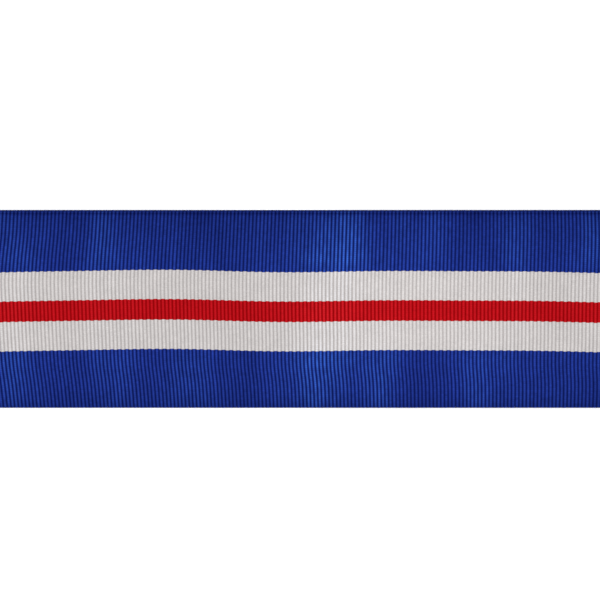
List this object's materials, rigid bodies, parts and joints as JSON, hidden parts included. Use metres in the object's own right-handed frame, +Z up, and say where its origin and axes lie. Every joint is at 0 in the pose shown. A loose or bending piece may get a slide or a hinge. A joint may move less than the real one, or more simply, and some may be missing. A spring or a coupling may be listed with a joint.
{
  "type": "striped medal ribbon",
  "caption": "Flat cut length of ribbed blue, white and red striped medal ribbon: bands of warp yarn on a continuous weft yarn, with looped selvedges.",
  "frame": {"origin": "centre of the ribbon's back face, on the surface it lies on", "axes": "+X along the ribbon, +Y across it towards the wider blue stripe, +Z up out of the face"},
  "size_m": [0.1522, 0.032, 0.0004],
  "materials": {
    "blue_yarn": "ribbed royal blue filament yarn, low lustre",
    "white_yarn": "ribbed white filament yarn, low lustre",
    "red_yarn": "ribbed red filament yarn, low lustre",
    "weft": "plied dark blue yarn, matt"
  },
  "bodies": {
    "root": {"weft_yarn": "weft", "selvedge_end_upper": "blue_yarn", "blue_warp_upper": "blue_yarn", "white_warp_upper": "white_yarn", "red_warp": "red_yarn", "white_warp_lower": "white_yarn", "blue_warp_lower": "blue_yarn", "selvedge_end_lower": "blue_yarn"}
  },
  "joints": []
}
